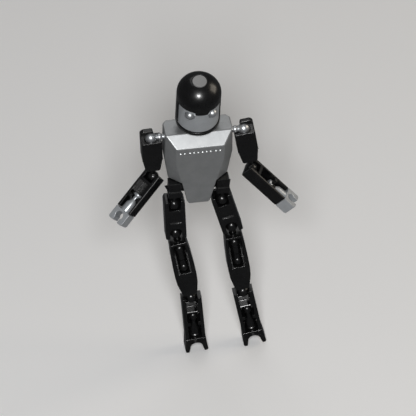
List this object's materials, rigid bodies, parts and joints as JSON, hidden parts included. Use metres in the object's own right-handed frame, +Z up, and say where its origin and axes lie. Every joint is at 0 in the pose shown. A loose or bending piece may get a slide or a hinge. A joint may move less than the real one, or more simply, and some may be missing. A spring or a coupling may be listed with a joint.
{
  "type": "humanoid robot kit",
  "caption": "Standing ball-jointed humanoid robot figure with capsule head, faceted silver torso, clip-together black limbs, claw hands and fork feet.",
  "frame": {"origin": "bottom centre of the bounding box, on the surface the feet stand on", "axes": "+Z up, the figure faces -Y, its left side is at +X"},
  "size_m": [0.0968, 0.0286, 0.1887],
  "materials": {
    "black_plastic": "semi-gloss moulded black plastic, fine moulding grain, light scuffs",
    "silver_shell": "satin silver-grey metallic plastic",
    "bright_silver": "lighter satin silver metallic plastic",
    "grey_plug": "plain grey moulded plastic",
    "steel": "plated small screws"
  },
  "bodies": {
    "torso": {"chest_shell": "silver_shell", "back_shell": "silver_shell", "spine_frame": "black_plastic", "back_screw_1": "steel", "back_screw_2": "steel", "back_screw_3": "steel", "back_screw_4": "steel"},
    "neck_link": {"neck_stud": "black_plastic"},
    "head": {"helmet_shell": "black_plastic", "face_plate": "bright_silver", "left_eye": "bright_silver", "right_eye": "bright_silver", "crown_plug": "grey_plug", "neck_socket": "black_plastic"},
    "left_shoulder_link": {"left_shoulder_stud": "bright_silver"},
    "left_arm_upper": {"left_upper_arm": "black_plastic"},
    "left_elbow_link": {"left_elbow_stud": "black_plastic"},
    "left_arm_lower": {"left_forearm_channel": "black_plastic"},
    "left_hand": {"left_hand_claw": "bright_silver"},
    "left_hip_pivot": {"left_hip_stud": "black_plastic"},
    "left_hip": {"left_hip_link": "black_plastic"},
    "left_knee_pivot": {"left_knee_stud": "black_plastic"},
    "left_thigh": {"left_thigh_shell": "black_plastic"},
    "left_ankle_pivot": {"left_ankle_stud": "black_plastic"},
    "left_shin": {"left_shin_channel": "black_plastic"},
    "left_foot": {"left_foot_clip": "black_plastic"},
    "right_shoulder_link": {"right_shoulder_stud": "bright_silver"},
    "right_arm_upper": {"right_upper_arm": "black_plastic"},
    "right_elbow_link": {"right_elbow_stud": "black_plastic"},
    "right_arm_lower": {"right_forearm_channel": "black_plastic"},
    "right_hand": {"right_hand_claw": "bright_silver"},
    "right_hip_pivot": {"right_hip_stud": "black_plastic"},
    "right_hip": {"right_hip_link": "black_plastic"},
    "right_knee_pivot": {"right_knee_stud": "black_plastic"},
    "right_thigh": {"right_thigh_shell": "black_plastic"},
    "right_ankle_pivot": {"right_ankle_stud": "black_plastic"},
    "right_shin": {"right_shin_channel": "black_plastic"},
    "right_foot": {"right_foot_clip": "black_plastic"}
  },
  "joints": [
    {"name": "neck_swivel", "type": "hinge", "parent": "torso", "child": "neck_link", "pos_m": [-0.00176, 0.00291, 0.16054], "axis": [0.0119, 0, 0.9999], "range_deg": [-90, 90]},
    {"name": "head_nod", "type": "hinge", "parent": "neck_link", "child": "head", "pos_m": [-0.00176, 0.00291, 0.16054], "axis": [0.9999, 0, -0.0119], "range_deg": [-20, 9]},
    {"name": "left_shoulder_swivel", "type": "hinge", "parent": "torso", "child": "left_shoulder_link", "pos_m": [0.02169, 0.00291, 0.14805], "axis": [-0.9999, 0, 0.0119], "range_deg": [-60, 110]},
    {"name": "left_shoulder_lift", "type": "hinge", "parent": "left_shoulder_link", "child": "left_arm_upper", "pos_m": [0.02169, 0.00291, 0.14805], "axis": [-0.0145, -0.9946, 0.1025], "range_deg": [-9, 30]},
    {"name": "left_elbow_swivel", "type": "hinge", "parent": "left_arm_upper", "child": "left_elbow_link", "pos_m": [0.02538, 0.00017, 0.12196], "axis": [0.1392, -0.1035, -0.9848], "range_deg": [-60, 60]},
    {"name": "left_elbow_bend", "type": "hinge", "parent": "left_elbow_link", "child": "left_arm_lower", "pos_m": [0.02538, 0.00017, 0.12196], "axis": [-0.3911, -0.917, 0.078], "range_deg": [-35, 35]},
    {"name": "left_wrist_swivel", "type": "hinge", "parent": "left_arm_lower", "child": "left_hand", "pos_m": [0.04, -0.00731, 0.10732], "axis": [-0.6647, 0.3401, 0.6652], "range_deg": [-90, 90]},
    {"name": "left_hip_swivel", "type": "hinge", "parent": "torso", "child": "left_hip_pivot", "pos_m": [0.00989, -0.00309, 0.10619], "axis": [0.0119, 0, 0.9999], "range_deg": [-10, 20]},
    {"name": "left_hip_bend", "type": "hinge", "parent": "left_hip_pivot", "child": "left_hip", "pos_m": [0.00989, -0.00309, 0.10619], "axis": [-0.9703, 0, -0.2419], "range_deg": [-12, 50]},
    {"name": "left_knee_bend", "type": "hinge", "parent": "left_hip", "child": "left_knee_pivot", "pos_m": [0.01485, -0.00309, 0.0863], "axis": [0.9921, 0, 0.1253], "range_deg": [-30, 60]},
    {"name": "left_thigh_swivel", "type": "hinge", "parent": "left_knee_pivot", "child": "left_thigh", "pos_m": [0.01485, -0.00309, 0.0863], "axis": [-0.1253, 0, 0.9921], "range_deg": [-30, 30]},
    {"name": "left_ankle_swivel", "type": "hinge", "parent": "left_thigh", "child": "left_ankle_pivot", "pos_m": [0.021, -0.00309, 0.03769], "axis": [-0.1253, 0, 0.9921], "range_deg": [-30, 30]},
    {"name": "left_ankle_bend", "type": "hinge", "parent": "left_ankle_pivot", "child": "left_shin", "pos_m": [0.021, -0.00309, 0.03769], "axis": [-0.9854, 0, -0.1702], "range_deg": [-30, 40]},
    {"name": "left_foot_swivel", "type": "hinge", "parent": "left_shin", "child": "left_foot", "pos_m": [0.02569, -0.00309, 0.01049], "axis": [-0.1702, 0, 0.9854], "range_deg": [-45, 45]},
    {"name": "right_shoulder_swivel", "type": "hinge", "parent": "torso", "child": "right_shoulder_link", "pos_m": [-0.0255, 0.00291, 0.14862], "axis": [-0.9999, 0, 0.0119], "range_deg": [-60, 110]},
    {"name": "right_shoulder_lift", "type": "hinge", "parent": "right_shoulder_link", "child": "right_arm_upper", "pos_m": [-0.0255, 0.00291, 0.14862], "axis": [0.0012, 0.9994, -0.0349], "range_deg": [-1, 40]},
    {"name": "right_elbow_swivel", "type": "hinge", "parent": "right_arm_upper", "child": "right_elbow_link", "pos_m": [-0.02458, 0.00199, 0.12215], "axis": [-0.0349, 0.0349, 0.9988], "range_deg": [-60, 60]},
    {"name": "right_elbow_bend", "type": "hinge", "parent": "right_elbow_link", "child": "right_arm_lower", "pos_m": [-0.02458, 0.00199, 0.12215], "axis": [-0.5862, 0.7934, 0.1638], "range_deg": [-40, 35]},
    {"name": "right_wrist_swivel", "type": "hinge", "parent": "right_arm_lower", "child": "right_hand", "pos_m": [-0.03974, -0.00642, 0.1086], "axis": [-0.6892, -0.382, -0.6157], "range_deg": [-90, 90]},
    {"name": "right_hip_swivel", "type": "hinge", "parent": "torso", "child": "right_hip_pivot", "pos_m": [-0.0147, -0.00309, 0.10648], "axis": [-0.0119, 0, -0.9999], "range_deg": [-10, 20]},
    {"name": "right_hip_bend", "type": "hinge", "parent": "right_hip_pivot", "child": "right_hip", "pos_m": [-0.0147, -0.00309, 0.10648], "axis": [-0.9993, 0, -0.0384], "range_deg": [-12, 50]},
    {"name": "right_knee_bend", "type": "hinge", "parent": "right_hip", "child": "right_knee_pivot", "pos_m": [-0.01392, -0.00309, 0.086], "axis": [0.9866, 0, 0.1633], "range_deg": [-30, 60]},
    {"name": "right_thigh_swivel", "type": "hinge", "parent": "right_knee_pivot", "child": "right_thigh", "pos_m": [-0.01392, -0.00309, 0.086], "axis": [0.1633, 0, -0.9866], "range_deg": [-30, 30]},
    {"name": "right_ankle_swivel", "type": "hinge", "parent": "right_thigh", "child": "right_ankle_pivot", "pos_m": [-0.00591, -0.00309, 0.03766], "axis": [0.1633, 0, -0.9866], "range_deg": [-30, 30]},
    {"name": "right_ankle_bend", "type": "hinge", "parent": "right_ankle_pivot", "child": "right_shin", "pos_m": [-0.00591, -0.00309, 0.03766], "axis": [-0.9972, 0, -0.075], "range_deg": [-30, 40]},
    {"name": "right_foot_swivel", "type": "hinge", "parent": "right_shin", "child": "right_foot", "pos_m": [-0.00384, -0.00309, 0.01013], "axis": [0.075, 0, -0.9972], "range_deg": [-45, 45]}
  ]
}
